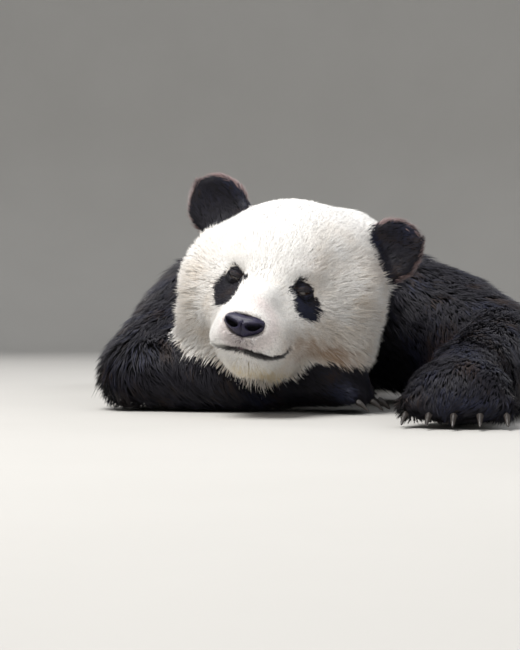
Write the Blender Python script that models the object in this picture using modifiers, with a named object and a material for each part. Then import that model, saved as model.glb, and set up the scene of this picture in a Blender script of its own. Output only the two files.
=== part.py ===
"""A giant panda at life size, resting on its belly with its chin low and its left foreleg out in front.

Metres, +Z up, the floor at z = 0. The face looks along -Y, turned and tilted a little, and +X is the
animal's left. Every solid is bounded by the tips of the coat. The flesh is modelled whole from named
lumps and melted together by a voxel remesh. Thin cuts, most of them straight and an oval one round each
haunch, then part it into the parts that a person would name.
"""

import math

import bmesh
import bpy
from mathutils import Matrix, Vector

# Driving sizes, over the fur.
HEAD_CENTRE_HEIGHT = 0.168
TRUNK_HALF_WIDTH = 0.272
TRUNK_HALF_HEIGHT = 0.127
PAW_HALF_WIDTH = 0.063

# How the head is held.
HEAD_YAW = math.radians(-12.5)
HEAD_ROLL = math.radians(13.0)

# Eyes, ears and nose, in the head's own axes: x to its left, y to its back and z up.
EYE_SPACING = 0.088
EYE_RADIUS = 0.0115
EYE_DEPTH = -0.084
EYE_HEIGHT = 0.003
SOCKET_HALF_SIZES = (0.0150, 0.0200, 0.0085)
SOCKET_HEIGHT = 0.002
SOCKET_SLANT = math.radians(24.0)
EAR_MIDDLES = {"left": (0.1245, 0.026, 0.078), "right": (-0.1200, 0.040, 0.087)}
EAR_HALF_SIZES = (0.0465, 0.0190, 0.0515)
EAR_TURN = math.radians(-8.0)
EAR_LEAN = math.radians(40.0)
EAR_DISH_DEPTH = 1.05
EAR_DISH_REACH = 0.72
NOSE_MIDDLE = (-0.004, -0.160, -0.050)
NOSE_HALF_SIZES = (0.0275, 0.0170, 0.0165)
NOSE_LEAN = math.radians(-12.0)
NOSE_FOOT_SHARE = 0.70
NOSE_TOP_SLOPE = 0.15

# Toes and claws. The toes fan out, and the outer ones start further back.
TOE_SIZES = (0.0195, 0.0195, 0.0225)
TOE_HEIGHT = 0.026
TOE_SPACING = 0.0265
TOE_REACH = 0.80
TOE_STAGGER = 0.0045
TOE_FAN = 0.10
CLAW_LENGTH = 0.028
CLAW_RADIUS = 0.0053
CLAW_START = 0.006
CLAW_HEIGHT = 0.020
CLAW_DROP = 0.015
CLAW_THINNING = 0.80
CLAW_STATIONS = 4

# How the surface is made.
CUT_GAP = 0.0004
CONTACT_GAP = 0.0012
BODY_VOXEL = 0.009
BODY_SMOOTHING = 20
BODY_RESTORE = 0.006
BODY_TRIANGLES = 1600
PAW_VOXEL = 0.005
PAW_SMOOTHING = 5
PAW_RESTORE = 0.0008
PAW_TRIANGLES = 250
HEAD_VOXEL = 0.0048
HEAD_SMOOTHING = 12
HEAD_RESTORE = 0.0012
HEAD_TRIANGLES = 1100
FLOOR_DIP = 0.4
DRUM_SIDES = 24
SHARP_ANGLE = math.radians(50.0)

BLACK_FUR = ("black_fur", (0.018, 0.017, 0.020), 0.85)
WHITE_FUR = ("white_fur", (0.82, 0.78, 0.70), 0.85)
NOSE_SKIN = ("nose_skin", (0.025, 0.022, 0.032), 0.35)
EYE_SURFACE = ("eye_surface", (0.030, 0.016, 0.010), 0.08)
CLAW_HORN = ("claw_horn", (0.16, 0.13, 0.10), 0.45)

HEAD_AXES = (
    Matrix.Translation((0.0, 0.0, HEAD_CENTRE_HEIGHT))
    @ Matrix.Rotation(HEAD_YAW, 4, "Z")
    @ Matrix.Rotation(HEAD_ROLL, 4, "Y")
)

# Lumps of the head: centre and half sizes in the head's own axes. Those with an x come in pairs, but for the
# crests, because the coat of the crown stands fuller on the left.
HEAD_LUMPS = {
    "crest_middle": ((0.008, 0.022, 0.023), (0.119, 0.112, 0.101)),
    "crest_left": ((0.061, 0.073, 0.052), (0.066, 0.071, 0.080)),
    "crest_right": ((-0.048, 0.070, 0.032), (0.066, 0.070, 0.066)),
    "brow": ((0.0, -0.026, 0.020), (0.092, 0.080, 0.086)),
    "jaw_muscle": ((0.060, 0.004, -0.012), (0.083, 0.088, 0.094)),
    "cheek_ruff": ((0.074, 0.010, -0.054), (0.067, 0.070, 0.064)),
    "throat": ((0.0, 0.000, -0.066), (0.090, 0.090, 0.058)),
    "under_eye": ((0.044, -0.052, -0.040), (0.050, 0.050, 0.046)),
    "muzzle_root": ((0.0, -0.074, -0.050), (0.068, 0.058, 0.058)),
    "bridge": ((0.0, -0.096, -0.026), (0.030, 0.058, 0.034)),
    "muzzle": ((0.0, -0.122, -0.060), (0.050, 0.044, 0.038)),
    "muzzle_tip": ((0.0, -0.144, -0.059), (0.038, 0.030, 0.031)),
    "upper_lip": ((0.022, -0.136, -0.076), (0.029, 0.032, 0.023)),
    "lower_jaw": ((0.0, -0.074, -0.090), (0.056, 0.062, 0.038)),
    "chin": ((0.0, -0.114, -0.098), (0.034, 0.036, 0.028)),
}

# Lumps of the neck and trunk, from front to back.
BODY_MIDDLE = 0.015
SPINE_LUMPS = (
    ((0.004, 0.060, 0.172), (0.112, 0.080, 0.098)),
    ((0.010, 0.150, 0.166), (0.134, 0.100, 0.112)),
    ((BODY_MIDDLE, 0.260, 0.160), (0.158, 0.110, 0.128)),
    ((BODY_MIDDLE, 0.380, 0.144), (0.190, 0.140, 0.136)),
    ((BODY_MIDDLE, 0.530, 0.134), (0.236, 0.170, 0.128)),
    ((BODY_MIDDLE, 0.700, 0.130), (TRUNK_HALF_WIDTH, 0.170, TRUNK_HALF_HEIGHT)),
    ((BODY_MIDDLE, 0.870, 0.140), (0.205, 0.170, 0.146)),
)
# The arch of the back, narrower than the trunk under it.
BACK_LUMPS = (
    ((BODY_MIDDLE, 0.400, 0.160), (0.120, 0.110, 0.128)),
    ((BODY_MIDDLE, 0.540, 0.160), (0.140, 0.130, 0.142)),
    ((BODY_MIDDLE, 0.700, 0.165), (0.160, 0.150, 0.158)),
    ((BODY_MIDDLE, 0.850, 0.163), (0.150, 0.140, 0.148)),
)
SHOULDER_BLADES = ((0.068, 0.270, 0.190), (0.080, 0.110, 0.088))
RUMP = ((0.066, 0.900, 0.162), (0.118, 0.130, 0.138))
TAIL_LUMPS = (
    ((BODY_MIDDLE, 1.036, 0.196), (0.038, 0.030, 0.030)),
    ((BODY_MIDDLE, 1.068, 0.150), (0.046, 0.026, 0.036)),
    ((BODY_MIDDLE, 1.074, 0.098), (0.040, 0.024, 0.034)),
)

# Limbs: centre and radius at each named station.
FORELEG_LEFT = {
    "shoulder": ((0.160, 0.315, 0.132), 0.112),
    "upper": ((0.247, 0.215, 0.102), 0.100),
    "elbow": ((0.312, 0.060, 0.071), 0.074),
    "lower": ((0.278, -0.070, 0.062), 0.066),
    "wrist": ((0.228, -0.190, 0.050), 0.055),
}
FORELEG_RIGHT = {
    "shoulder": ((-0.094, 0.305, 0.132), 0.108),
    "upper": ((-0.146, 0.190, 0.088), 0.086),
    "elbow": ((-0.198, 0.068, 0.053), 0.060),
    "lower": ((-0.100, 0.036, 0.054), 0.058),
    "wrist": ((-0.010, 0.020, 0.047), 0.051),
}
# The hind legs mirror each other about the middle of the body.
HINDLEG = {
    "hip": ((0.108, 0.920, 0.136), 0.128),
    "thigh": ((0.152, 0.810, 0.118), 0.112),
    "knee": ((0.186, 0.690, 0.088), 0.086),
    "shank": ((0.206, 0.830, 0.066), 0.066),
    "heel": ((0.208, 0.958, 0.050), 0.052),
}
# Paws: where the palm is, which way the toes point, as degrees from -Y towards +X, and how long the palm is.
PAWS = {
    "forepaw_left": ((0.202, -0.262, 0.042), -14.0, 0.062),
    "forepaw_right": ((0.062, 0.004, 0.042), 76.0, 0.062),
    "hindpaw_left": ((BODY_MIDDLE + 0.272, 0.893, 0.038), 13.0, 0.085),
    "hindpaw_right": ((BODY_MIDDLE - 0.272, 0.893, 0.038), -13.0, 0.085),
}

# What the head lies against, and is cut back to make room for it.
HEAD_NEIGHBOURS = (
    "neck",
    "shoulders",
    "foreleg_left_upper",
    "foreleg_right_upper",
    "foreleg_right_lower",
    "forepaw_right",
)

# Where the forelegs are parted: each box runs from one joint to another. Its reaches are how far it passes
# the start and the end, and how far it goes to the right, to the left, below and above.
FORELEG_CUTS = (
    ("forepaw_left", "left", "wrist", "palm", (0.0, 0.12, 0.11, 0.11, 0.2, 0.2)),
    ("foreleg_left_lower", "left", "elbow", "wrist", (0.0, 0.02, 0.11, 0.13, 0.2, 0.2)),
    ("foreleg_left_upper", "left", "shoulder", "elbow", (-0.03, 0.16, 0.105, 0.25, 0.3, 0.3)),
    ("forepaw_right", "right", "wrist", "palm", (0.0, 0.14, 0.1, 0.1, 0.2, 0.055)),
    ("foreleg_right_lower", "right", "elbow", "wrist", (-0.01, 0.02, 0.09, 0.08, 0.2, 0.06)),
    ("foreleg_right_upper", "right", "shoulder", "elbow", (-0.03, 0.16, 0.25, 0.1, 0.3, 0.3)),
)

# Where the hind legs and the spine are parted: middle and half sizes. The hind legs' x is from the
# middle of the body.
SHANK_BOX = ((0.270, 0.930, 0.0), (0.150, 0.135, 0.092))
HAUNCH_DRUM = ((0.215, 0.815, 0.100), (0.120, 0.205, 0.150))
SPINE_BOXES = {
    "tail": ((BODY_MIDDLE, 1.150, 0.150), (0.075, 0.098, 0.110)),
    "neck": ((0.0, -0.100, 0.200), (0.500, 0.300, 0.400)),
    "shoulders": ((0.0, 0.100, 0.200), (0.500, 0.320, 0.400)),
}


def clear_scene():
    for obj in list(bpy.data.objects):
        bpy.data.objects.remove(obj)


def material(name, colour, roughness):
    made = bpy.data.materials.get(name)
    if made is None:
        made = bpy.data.materials.new(name)
        made.use_nodes = True
        surface = made.node_tree.nodes["Principled BSDF"]
        surface.inputs["Base Color"].default_value = (*colour, 1.0)
        surface.inputs["Roughness"].default_value = roughness
        surface.inputs["Metallic"].default_value = 0.0
    return made


# Meshes and Booleans


def add_ball(lumps, centre, half_sizes, axes=None, detail=3):
    """Adds one ellipsoid to a bmesh, in the given axes or the world's."""
    place = Matrix.Translation(centre) @ Matrix.Diagonal((*half_sizes, 1.0))
    if axes is not None:
        place = axes @ place
    bmesh.ops.create_icosphere(lumps, subdivisions=detail, radius=1.0, matrix=place)


def add_chain(lumps, stations, steps=7):
    """Adds ellipsoids that pass smoothly from each (centre, half sizes) to the next."""
    for (start, start_size), (end, end_size) in zip(stations, stations[1:]):
        for step in range(steps + 1):
            share = step / steps
            centre = Vector(start).lerp(Vector(end), share)
            add_ball(lumps, centre, Vector(start_size).lerp(Vector(end_size), share))


def round_stations(limb, offset=0.0, side=1):
    """A limb's stations as (centre, half sizes), moved to its side of the body."""
    return [
        ((offset + side * centre[0], centre[1], centre[2]), (radius,) * 3)
        for centre, radius in limb.values()
    ]


def mesh_from(lumps, name):
    mesh = bpy.data.meshes.new(name)
    lumps.to_mesh(mesh)
    lumps.free()
    return mesh


def evaluated_mesh(mesh, name, add_modifiers):
    """The mesh that an object would show with the modifiers that add_modifiers gives it."""
    obj = bpy.data.objects.new(name, mesh)
    bpy.context.scene.collection.objects.link(obj)
    add_modifiers(obj)
    bpy.context.view_layer.update()
    graph = bpy.context.evaluated_depsgraph_get()
    made = bpy.data.meshes.new_from_object(obj.evaluated_get(graph))
    made.name = name
    bpy.data.objects.remove(obj)
    return made


def melted(mesh, name, voxel, smoothing, restore, triangles):
    """Overlapping lumps made one smooth closed surface of about that many triangles.

    Smoothing shrinks the round parts, so the surface then moves out by the restore distance.
    """

    def remesh(obj):
        melt = obj.modifiers.new("melt", "REMESH")
        melt.mode = "VOXEL"
        melt.voxel_size = voxel
        soften = obj.modifiers.new("soften", "SMOOTH")
        soften.factor = 0.5
        soften.iterations = smoothing
        swell = obj.modifiers.new("swell", "DISPLACE")
        swell.strength = restore
        swell.mid_level = 0.0

    fine = evaluated_mesh(mesh, name, remesh)
    share = triangles / (2 * len(fine.polygons))

    def decimate(obj):
        thin = obj.modifiers.new("thin", "DECIMATE")
        thin.ratio = share

    return evaluated_mesh(fine, name, decimate)


def boolean(mesh, cutter, operation, solver="EXACT"):
    """What a Boolean of two closed meshes leaves."""
    other = bpy.data.objects.new("cutter", cutter)
    bpy.context.scene.collection.objects.link(other)

    def cut(obj):
        modifier = obj.modifiers.new("cut", "BOOLEAN")
        modifier.operation = operation
        modifier.solver = solver
        modifier.object = other

    made = evaluated_mesh(mesh, mesh.name, cut)
    bpy.data.objects.remove(other)
    return made


def largest_island(mesh):
    """Drops the crumbs that a cut can leave beside the main body."""
    body = bmesh.new()
    body.from_mesh(mesh)
    left = set(body.verts)
    islands = []
    while left:
        island, edge = set(), [left.pop()]
        while edge:
            vert = edge.pop()
            island.add(vert)
            for link in vert.link_edges:
                other = link.other_vert(vert)
                if other in left:
                    left.remove(other)
                    edge.append(other)
        islands.append(island)
    keep = max(islands, key=len)
    crumbs = [vert for island in islands if island is not keep for vert in island]
    bmesh.ops.delete(body, geom=crumbs, context="VERTS")
    body.to_mesh(mesh)
    body.free()
    return mesh


def box_mesh(middle, half_sizes, axes=None):
    box = bmesh.new()
    place = Matrix.Translation(middle)
    if axes is not None:
        place = place @ axes.to_4x4()
    size = Matrix.Diagonal((*(2 * half for half in half_sizes), 1.0))
    bmesh.ops.create_cube(box, size=1.0, matrix=place @ size)
    return mesh_from(box, "box")


def grown(mesh, distance):
    """A copy of a closed mesh with every face moved out by a distance."""
    body = bmesh.new()
    body.from_mesh(mesh)
    body.normal_update()
    for vert in body.verts:
        vert.co += vert.normal * distance * min(vert.calc_shell_factor(), 2.0)
    return mesh_from(body, "grown")


def clear_of(mesh, other):
    """Cuts a mesh back to a thin gap from another. The exact solver fails on such curved cutters."""
    return largest_island(boolean(mesh, grown(other, CONTACT_GAP), "DIFFERENCE", "MANIFOLD"))


def along(start, end, up=(0.0, 0.0, 1.0)):
    """Axes whose x runs from start to end, with z as near to up as can be."""
    x = (Vector(end) - Vector(start)).normalized()
    y = Vector(up).cross(x).normalized()
    return Matrix((x, y, x.cross(y))).transposed()


def segment_box(start, end, before, after, right, left, below, above):
    """A box round the line from start to end, with how far it passes the ends and reaches to each side."""
    axes = along(start, end)
    length = (Vector(end) - Vector(start)).length
    half_sizes = ((length + before + after) / 2, (right + left) / 2, (below + above) / 2)
    offset = Vector(((length + after - before) / 2, (left - right) / 2, (above - below) / 2))
    return Vector(start) + axes @ offset, half_sizes, axes


def box_cutters(middle, half_sizes, axes=None):
    """A box, and the same box wider by the gap."""
    wider = [half + CUT_GAP for half in half_sizes]
    return box_mesh(middle, half_sizes, axes), box_mesh(middle, wider, axes)


def drum_cutters(middle, half_sizes):
    """An oval drum that lies across the body, and the same one wider by the gap."""
    pair = []
    for extra in (0.0, CUT_GAP):
        drum = bmesh.new()
        size = Matrix.Diagonal((*(half + extra for half in half_sizes), 1.0))
        place = Matrix.Translation(middle) @ size @ Matrix.Rotation(math.radians(90.0), 4, "Y")
        bmesh.ops.create_cone(
            drum, cap_ends=True, segments=DRUM_SIDES, radius1=1.0, radius2=1.0, depth=2.0, matrix=place
        )
        pair.append(mesh_from(drum, "drum"))
    return pair


def part_off(rest, name, cutters):
    """Saws the part inside the first cutter off the rest, which the wider cutter keeps a thin gap away."""
    piece = boolean(rest, cutters[0], "INTERSECT")
    piece.name = name
    return largest_island(piece), largest_island(boolean(rest, cutters[1], "DIFFERENCE"))


# Parts


def paw_axes(heading):
    """Forward and sideways directions of a paw on the floor."""
    angle = math.radians(heading)
    forward = Vector((math.sin(angle), -math.cos(angle), 0.0))
    return forward, Vector((math.cos(angle), math.sin(angle), 0.0))


def toes(palm, heading, palm_length):
    """The centre of each of a paw's five toes and the way it points."""
    forward, across = paw_axes(heading)
    for index in range(-2, 3):
        reach = palm_length * TOE_REACH - TOE_STAGGER * index * index
        centre = Vector(palm) + forward * reach + across * TOE_SPACING * index
        centre.z = TOE_HEIGHT
        yield centre, (forward + across * TOE_FAN * index).normalized()


def wrist_of(name):
    """Centre and radius of the limb's end that carries a paw."""
    if name.startswith("hind"):
        side = 1 if name.endswith("left") else -1
        (x, y, z), radius = HINDLEG["heel"]
        return (BODY_MIDDLE + side * x, y, z), radius
    limb = FORELEG_LEFT if name.endswith("left") else FORELEG_RIGHT
    return limb["wrist"]


def add_paw(lumps, name):
    palm, heading, palm_length = PAWS[name]
    forward, across = paw_axes(heading)
    axes = Matrix((across, -forward, Vector((0.0, 0.0, 1.0)))).transposed().to_4x4()
    sizes = (PAW_HALF_WIDTH, palm_length, palm[2])
    add_ball(lumps, (0.0, 0.0, 0.0), sizes, Matrix.Translation(palm) @ axes)
    for centre, _ in toes(palm, heading, palm_length):
        add_ball(lumps, centre, TOE_SIZES)
    wrist, radius = wrist_of(name)
    add_chain(lumps, ((wrist, (radius,) * 3), (palm, (palm[2],) * 3)))


def paw_mesh(name):
    """A paw with its toes, and a stretch of the leg that the cut then takes off."""
    lumps = bmesh.new()
    add_paw(lumps, name)
    whole = mesh_from(lumps, name)
    whole = melted(whole, name, PAW_VOXEL, PAW_SMOOTHING, PAW_RESTORE, PAW_TRIANGLES)
    return on_floor(whole)


def body_mesh():
    """Neck, trunk, tail and limbs in one closed surface, flat where they rest on the floor."""
    lumps = bmesh.new()
    add_chain(lumps, SPINE_LUMPS)
    add_chain(lumps, BACK_LUMPS)
    add_chain(lumps, TAIL_LUMPS)
    for (x, y, z), half_sizes in (SHOULDER_BLADES, RUMP):
        for side in (-1, 1):
            add_ball(lumps, (BODY_MIDDLE + side * x, y, z), half_sizes)
    add_chain(lumps, round_stations(FORELEG_LEFT))
    add_chain(lumps, round_stations(FORELEG_RIGHT))
    for side in (-1, 1):
        add_chain(lumps, round_stations(HINDLEG, BODY_MIDDLE, side))
    for name in ("forepaw_left", "forepaw_right"):
        add_paw(lumps, name)
    whole = mesh_from(lumps, "body")
    whole = melted(whole, "body", BODY_VOXEL, BODY_SMOOTHING, BODY_RESTORE, BODY_TRIANGLES)
    return on_floor(whole)


def on_floor(mesh):
    """Cuts off what reaches below the floor."""
    below = box_mesh((0.0, 0.0, -FLOOR_DIP), (2.0, 3.0, FLOOR_DIP))
    return largest_island(boolean(mesh, below, "DIFFERENCE"))


def head_mesh():
    lumps = bmesh.new()
    for name, (centre, half_sizes) in HEAD_LUMPS.items():
        paired = centre[0] and not name.startswith("crest")
        for side in (-1, 1) if paired else (1,):
            add_ball(lumps, (side * centre[0], *centre[1:]), half_sizes, HEAD_AXES, 4)
    whole = mesh_from(lumps, "head")
    return melted(whole, "head", HEAD_VOXEL, HEAD_SMOOTHING, HEAD_RESTORE, HEAD_TRIANGLES)


def ear_mesh(name, side):
    """A round ear: a thick disc whose front is dished."""
    ear = bmesh.new()
    bmesh.ops.create_uvsphere(ear, u_segments=14, v_segments=8, radius=1.0)
    for vert in ear.verts:
        if vert.co.y < 0:
            hollow = 1.0 - (vert.co.x ** 2 + vert.co.z ** 2) / EAR_DISH_REACH
            vert.co.y += EAR_DISH_DEPTH * max(0.0, hollow)
    place = (
        HEAD_AXES
        @ Matrix.Translation(EAR_MIDDLES[name])
        @ Matrix.Rotation(side * EAR_TURN, 4, "Z")
        @ Matrix.Rotation(side * EAR_LEAN, 4, "Y")
        @ Matrix.Diagonal((*EAR_HALF_SIZES, 1.0))
    )
    bmesh.ops.transform(ear, matrix=place, verts=ear.verts)
    return mesh_from(ear, "ear")


def eye_mesh(side):
    eye = bmesh.new()
    middle = (side * EYE_SPACING / 2, EYE_DEPTH, EYE_HEIGHT)
    add_ball(eye, middle, (EYE_RADIUS,) * 3, HEAD_AXES, 2)
    return mesh_from(eye, "eye")


def socket_mesh(side):
    """The almond hollow that opens the head in front of an eye."""
    socket = bmesh.new()
    middle = (side * EYE_SPACING / 2, EYE_DEPTH - SOCKET_HALF_SIZES[1], SOCKET_HEIGHT)
    axes = HEAD_AXES @ Matrix.Translation(middle) @ Matrix.Rotation(side * SOCKET_SLANT, 4, "Y")
    add_ball(socket, (0.0, 0.0, 0.0), SOCKET_HALF_SIZES, axes, 2)
    return mesh_from(socket, "socket")


def nose_mesh():
    """The bare nose pad: a rounded wedge, wide at the top."""
    nose = bmesh.new()
    bmesh.ops.create_uvsphere(nose, u_segments=14, v_segments=9, radius=1.0)
    for vert in nose.verts:
        height_share = min(1.0, max(0.0, 0.5 + vert.co.z))
        vert.co.x *= NOSE_FOOT_SHARE + (1.0 - NOSE_FOOT_SHARE) * height_share
        vert.co.y *= 1.0 - NOSE_TOP_SLOPE * vert.co.z
    place = (
        HEAD_AXES
        @ Matrix.Translation(NOSE_MIDDLE)
        @ Matrix.Rotation(NOSE_LEAN, 4, "X")
        @ Matrix.Diagonal((*NOSE_HALF_SIZES, 1.0))
    )
    bmesh.ops.transform(nose, matrix=place, verts=nose.verts)
    return mesh_from(nose, "nose")


def claw_mesh(toe, direction):
    """A tapered curve that leaves the toe level and bends down to the floor."""
    curve = bpy.data.curves.new("claw", "CURVE")
    curve.dimensions = "3D"
    curve.bevel_depth = CLAW_RADIUS
    curve.bevel_resolution = 0
    curve.use_fill_caps = True
    spline = curve.splines.new("POLY")
    spline.points.add(CLAW_STATIONS - 1)
    for index, point in enumerate(spline.points):
        share = index / (CLAW_STATIONS - 1)
        place = Vector(toe) + direction * (CLAW_START + CLAW_LENGTH * share)
        place.z = CLAW_HEIGHT - CLAW_DROP * share * share
        point.co = (*place, 1.0)
        point.radius = 1.0 - CLAW_THINNING * share ** 1.4
    obj = bpy.data.objects.new("claw", curve)
    bpy.context.scene.collection.objects.link(obj)
    bpy.context.view_layer.update()
    graph = bpy.context.evaluated_depsgraph_get()
    mesh = bpy.data.meshes.new_from_object(obj.evaluated_get(graph))
    bpy.data.objects.remove(obj)
    claw = bmesh.new()
    claw.from_mesh(mesh)
    bmesh.ops.remove_doubles(claw, verts=claw.verts, dist=0.00001)
    bmesh.ops.triangulate(claw, faces=claw.faces)
    return mesh_from(claw, "claw")


def foreleg_plan():
    """The forelegs' boxes, in the order of sawing: each from one joint towards the next."""
    joints = {"left": {}, "right": {}}
    for side, limb in (("left", FORELEG_LEFT), ("right", FORELEG_RIGHT)):
        joints[side] = {name: centre for name, (centre, _) in limb.items()}
        joints[side]["palm"] = PAWS["forepaw_" + side][0]
    return [
        (name, segment_box(joints[side][start], joints[side][end], *reaches))
        for name, side, start, end, reaches in FORELEG_CUTS
    ]


def parted_body(rest):
    """Saws the body into its named parts. The paws come from their own finer meshes."""
    pieces = {}
    for name, box in foreleg_plan():
        pieces[name], rest = part_off(rest, name, box_cutters(*box))
        if name in PAWS:
            pieces[name] = largest_island(boolean(paw_mesh(name), box_mesh(*box), "INTERSECT"))
            for index, (toe, direction) in enumerate(toes(*PAWS[name]), 1):
                claw = f"claw_{name.replace('paw', '')}_{index}"
                pieces[claw] = clear_of(claw_mesh(toe, direction), pieces[name])
    for side, name in ((1, "left"), (-1, "right")):
        paw = f"hindpaw_{name}"
        pieces[paw] = paw_mesh(paw)
        rest = clear_of(rest, pieces[paw])
        for index, (toe, direction) in enumerate(toes(*PAWS[paw]), 1):
            pieces[f"claw_hind_{name}_{index}"] = clear_of(claw_mesh(toe, direction), pieces[paw])
            rest = clear_of(rest, claw_mesh(toe, direction))
        shank = (BODY_MIDDLE + side * SHANK_BOX[0][0], *SHANK_BOX[0][1:]), SHANK_BOX[1]
        lower = f"hindleg_{name}_lower"
        pieces[lower], rest = part_off(rest, lower, box_cutters(*shank))
        haunch = (BODY_MIDDLE + side * HAUNCH_DRUM[0][0], *HAUNCH_DRUM[0][1:]), HAUNCH_DRUM[1]
        upper = f"hindleg_{name}_upper"
        pieces[upper], rest = part_off(rest, upper, drum_cutters(*haunch))
    for name, box in SPINE_BOXES.items():
        pieces[name], rest = part_off(rest, name, box_cutters(*box))
    pieces["trunk"] = rest
    return pieces


def finish_of(name):
    if name == "nose":
        return NOSE_SKIN
    if name.startswith("eye"):
        return EYE_SURFACE
    if name.startswith("claw"):
        return CLAW_HORN
    dark = ("ear", "foreleg", "forepaw", "hindleg", "hindpaw", "shoulders")
    return BLACK_FUR if name.startswith(dark) else WHITE_FUR


def centre_on_floor(stand, names):
    """Moves the whole animal so that the middle of its box is over the origin."""
    bpy.context.view_layer.update()
    corners = [
        bpy.data.objects[name].matrix_world @ Vector(corner)
        for name in names
        for corner in bpy.data.objects[name].bound_box
    ]
    for axis in range(2):
        reach = [corner[axis] for corner in corners]
        stand.location[axis] = -(min(reach) + max(reach)) / 2
    stand.location.z = -min(corner.z for corner in corners)


def add_node(name, mesh, finish, parent, collection):
    """Gives a mesh its own object, with its origin at its middle."""
    corners = [vert.co for vert in mesh.vertices]
    low = Vector(min(corner[axis] for corner in corners) for axis in range(3))
    high = Vector(max(corner[axis] for corner in corners) for axis in range(3))
    middle = (low + high) / 2
    mesh.transform(Matrix.Translation(-middle))
    mesh.materials.clear()
    mesh.materials.append(material(*finish))
    mesh.shade_smooth()
    mesh.set_sharp_from_angle(angle=SHARP_ANGLE)
    obj = bpy.data.objects.new(name, mesh)
    obj.location = middle
    obj.parent = parent
    collection.objects.link(obj)


def main():
    clear_scene()
    parts = bpy.data.collections.new("panda")
    bpy.context.scene.collection.children.link(parts)
    stand = bpy.data.objects.new("panda", None)
    parts.objects.link(stand)

    body = body_mesh()
    pieces = parted_body(body)
    head = head_mesh()
    for name in HEAD_NEIGHBOURS:
        pieces[name] = clear_of(pieces[name], head)
    for side, name in ((1, "left"), (-1, "right")):
        pieces[f"ear_{name}"] = clear_of(clear_of(ear_mesh(name, side), head), body)
    for side, name in ((1, "left"), (-1, "right")):
        pieces[f"eye_{name}"] = eye_mesh(side)
        head = boolean(head, socket_mesh(side), "DIFFERENCE")
        head = clear_of(head, pieces[f"eye_{name}"])
    pieces["nose"] = nose_mesh()
    pieces["head"] = clear_of(head, pieces["nose"])
    for name, mesh in pieces.items():
        add_node(name, mesh, finish_of(name), stand, parts)
    centre_on_floor(stand, pieces)


main()
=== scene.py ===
"""A life-size giant panda lying at rest, with its head on one folded forearm.

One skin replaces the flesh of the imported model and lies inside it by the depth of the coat.
The coat is closed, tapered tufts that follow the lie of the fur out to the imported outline.
The eyes, the nose pad and the claws are pieces of their own.
"""

import bmesh
import bpy
import numpy as np
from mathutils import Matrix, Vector
from mathutils.bvhtree import BVHTree


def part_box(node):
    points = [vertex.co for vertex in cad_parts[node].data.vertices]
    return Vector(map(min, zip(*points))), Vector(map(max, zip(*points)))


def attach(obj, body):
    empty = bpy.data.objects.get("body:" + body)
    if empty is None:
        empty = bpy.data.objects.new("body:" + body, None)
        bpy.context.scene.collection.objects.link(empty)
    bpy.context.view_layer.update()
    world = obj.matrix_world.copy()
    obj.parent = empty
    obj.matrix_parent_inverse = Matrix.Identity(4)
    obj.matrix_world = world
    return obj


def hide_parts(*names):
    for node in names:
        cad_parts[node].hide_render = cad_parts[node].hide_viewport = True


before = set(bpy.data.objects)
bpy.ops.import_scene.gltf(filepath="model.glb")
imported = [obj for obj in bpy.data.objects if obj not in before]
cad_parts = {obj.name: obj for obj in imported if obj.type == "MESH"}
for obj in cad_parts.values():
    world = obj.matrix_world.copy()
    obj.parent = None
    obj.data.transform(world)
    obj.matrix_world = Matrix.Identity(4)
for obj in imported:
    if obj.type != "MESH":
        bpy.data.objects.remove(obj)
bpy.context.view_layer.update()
rng = np.random.default_rng(41)

# ------ sizes, in metres
EYE_LOCAL = np.array([0.044, -0.084, 0.003])
NOSE_LOCAL = np.array([0.0, -0.160, -0.050])
EYE_RADIUS = 0.0115
NOSE_HALF = (0.0272, 0.0155, 0.0154)
NOSE_SHIFT = -0.0042
NOSE_SINK = 0.0034
NOSE_LEAN = np.radians(12.0)
MUZZLE_FRONT = -0.13
LIP_SPLIT = 0.6 * NOSE_SHIFT
NOSTRIL_OUT = 0.0138
CAMERA_FROM_HEAD = (-0.031, -1.9, -0.05)
CAMERA_LENS = 77.95
CAMERA_SENSOR = 36.0
WALL_REACH = 4.2
WALL_ROUND = 1.2
WALL_HIGH = 5.0

SHELL_VOXEL = 0.0062
NODE_SWELL = 0.0016
EYE_FILL = 0.002
CLAW_SWELL = 0.0012
FLOOR_CLEARANCE = 0.0012

# Coat by part of the body: depth over the skin, length and width of a tuft.
COAT = {
    "ear": (0.0045, 0.0130, 0.0010),
    "neck": (0.0165, 0.0400, 0.0020),
    "shoulders": (0.0185, 0.0460, 0.0021),
    "trunk": (0.0190, 0.0500, 0.0020),
    "tail": (0.0130, 0.0420, 0.0022),
    "foreleg_upper": (0.0165, 0.0410, 0.0018),
    "foreleg_lower": (0.0140, 0.0350, 0.0017),
    "forepaw": (0.0070, 0.0180, 0.0014),
    "hindleg_upper": (0.0170, 0.0450, 0.0024),
    "hindleg_lower": (0.0135, 0.0350, 0.0022),
    "hindpaw": (0.0070, 0.0180, 0.0018),
}
MUZZLE_COAT = (0.0024, 0.0074, 0.0006)
FACE_COAT = (0.0040, 0.0138, 0.0007)
CROWN_COAT = (0.0060, 0.0205, 0.0008)
CHEEK_COAT = (0.0140, 0.0310, 0.0009)
LIP_COAT = (0.0034, 0.0100, 0.0008)
CHIN_COAT = (0.0120, 0.0225, 0.0009)
CHIN_WISP = (0.0120, 0.0340, 0.0005)
EAR_WISP = (0.0080, 0.0150, 0.0006)
LID_COAT = (0.0012, 0.0044, 0.0006)
COVERAGE_HEAD = 5.0
COVERAGE_BODY = 3.7
UNDERSIDE_SHARE = 0.45
TUFTS_PER_PIECE = 32500

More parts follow.
